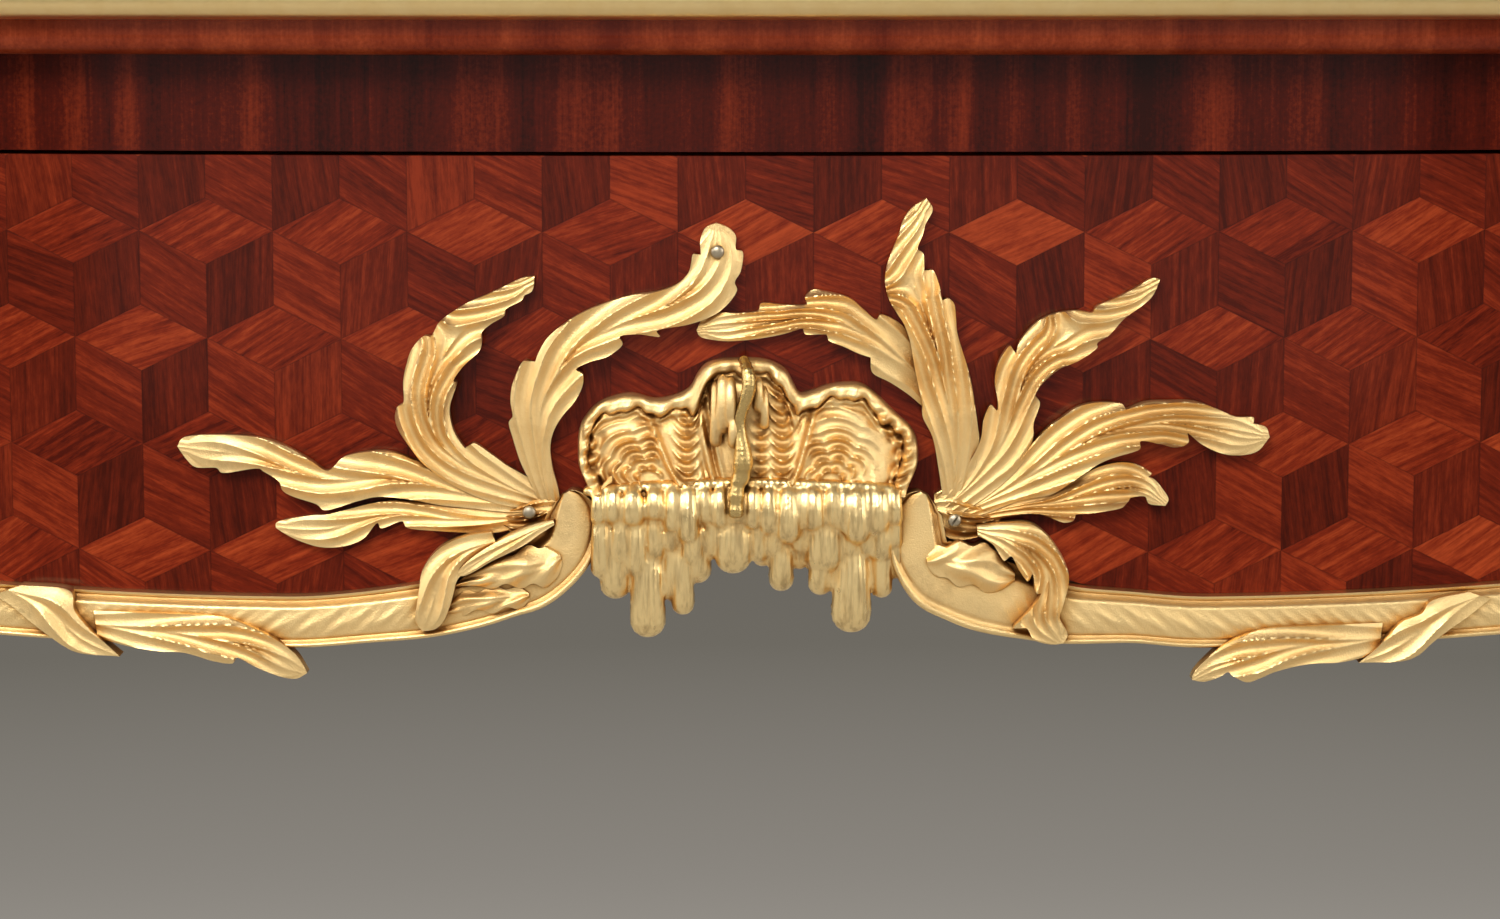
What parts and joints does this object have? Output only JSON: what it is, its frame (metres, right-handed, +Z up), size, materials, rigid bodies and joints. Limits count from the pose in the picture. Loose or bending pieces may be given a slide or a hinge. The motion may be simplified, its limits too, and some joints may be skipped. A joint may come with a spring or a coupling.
{
  "type": "cylinder desk",
  "caption": "Writing desk on cabriole legs with a serpentine parquetry front, gilt-bronze mounts, frieze drawers, a pull-out writing slide and a quarter-cylinder lid.",
  "frame": {"origin": "on the floor under the middle of the bed", "axes": "+X to the right as seen from the front, -Y out of the front, +Z up"},
  "size_m": [1.44, 0.8199, 1.1743],
  "materials": {
    "parquetry_veneer": "cube parquetry, French polish",
    "banding_veneer": "cross-banded, French polish",
    "oak": "bare, waxed",
    "inner_veneer": "satin polish",
    "gilt_bronze": "matt and burnished gilding",
    "brass_trim": "satin",
    "iron": "blackened",
    "steel": "turned",
    "leather": "gilt-tooled border"
  },
  "bodies": {
    "carcase": {"cheek_left": "parquetry_veneer", "cheek_right": "parquetry_veneer", "side_apron_left": "parquetry_veneer", "side_apron_right": "parquetry_veneer", "back_apron": "parquetry_veneer", "front_rail": "banding_veneer", "bed_ovolo": "banding_veneer", "leg_front_left": "banding_veneer", "leg_front_right": "banding_veneer", "leg_back_left": "banding_veneer", "leg_back_right": "banding_veneer", "bed_board": "banding_veneer", "top_board": "banding_veneer", "case_back": "banding_veneer", "drawer_dividers": "oak", "drawer_runners": "oak", "slide_guides": "oak", "fitment_boards": "inner_veneer", "sabots": "gilt_bronze", "knee_mounts": "gilt_bronze", "side_lip_left": "gilt_bronze", "side_lip_right": "gilt_bronze", "back_lip": "gilt_bronze", "bed_edge_moulding": "brass_trim", "top_edge_moulding": "brass_trim", "gallery_bars": "brass_trim", "gallery_balusters": "brass_trim", "cheek_trims": "brass_trim", "pivot_bushes": "brass_trim"},
    "cylinder": {"cylinder_wall": "parquetry_veneer", "cylinder_edge_rail": "brass_trim", "cylinder_arms": "iron", "cylinder_pivots": "steel", "cylinder_handles": "gilt_bronze", "cylinder_escutcheon": "gilt_bronze"},
    "writing_slide": {"slide_lipping": "banding_veneer", "slide_board": "oak", "slide_leather": "leather", "slide_knobs": "gilt_bronze"},
    "centre_drawer": {"centre_drawer_front": "parquetry_veneer", "centre_drawer_box": "oak", "centre_lip_left": "gilt_bronze", "centre_lip_right": "gilt_bronze", "leaf_spray_left": "gilt_bronze", "leaf_spray_right": "gilt_bronze", "apron_shell": "gilt_bronze"},
    "left_drawer": {"left_drawer_front": "parquetry_veneer", "left_drawer_box": "oak", "left_drawer_lip": "gilt_bronze", "left_drawer_pull": "gilt_bronze"},
    "right_drawer": {"right_drawer_front": "parquetry_veneer", "right_drawer_box": "oak", "right_drawer_lip": "gilt_bronze", "right_drawer_pull": "gilt_bronze"},
    "left_inner_drawer": {"small_drawer_left": "inner_veneer", "small_knob_left": "gilt_bronze"},
    "centre_inner_drawer": {"small_drawer_centre": "inner_veneer", "small_knob_centre": "gilt_bronze"},
    "right_inner_drawer": {"small_drawer_right": "inner_veneer", "small_knob_right": "gilt_bronze"}
  },
  "joints": [
    {"name": "cylinder_turn", "type": "hinge", "parent": "carcase", "child": "cylinder", "pos_m": [0, 0.077, 0.8173], "axis": [-1, 0, 0], "range_deg": [0, 62]},
    {"name": "writing_slide_draw", "type": "slide", "parent": "carcase", "child": "writing_slide", "axis": [0, -1, 0], "range_m": [0, 0.25]},
    {"name": "centre_drawer_draw", "type": "slide", "parent": "carcase", "child": "centre_drawer", "axis": [0, -1, 0], "range_m": [0, 0.38]},
    {"name": "left_drawer_draw", "type": "slide", "parent": "carcase", "child": "left_drawer", "axis": [0, -1, 0], "range_m": [0, 0.38]},
    {"name": "right_drawer_draw", "type": "slide", "parent": "carcase", "child": "right_drawer", "axis": [0, -1, 0], "range_m": [0, 0.38]},
    {"name": "left_inner_drawer_draw", "type": "slide", "parent": "carcase", "child": "left_inner_drawer", "axis": [0, -1, 0], "range_m": [0, 0.12]},
    {"name": "centre_inner_drawer_draw", "type": "slide", "parent": "carcase", "child": "centre_inner_drawer", "axis": [0, -1, 0], "range_m": [0, 0.12]},
    {"name": "right_inner_drawer_draw", "type": "slide", "parent": "carcase", "child": "right_inner_drawer", "axis": [0, -1, 0], "range_m": [0, 0.12]}
  ]
}
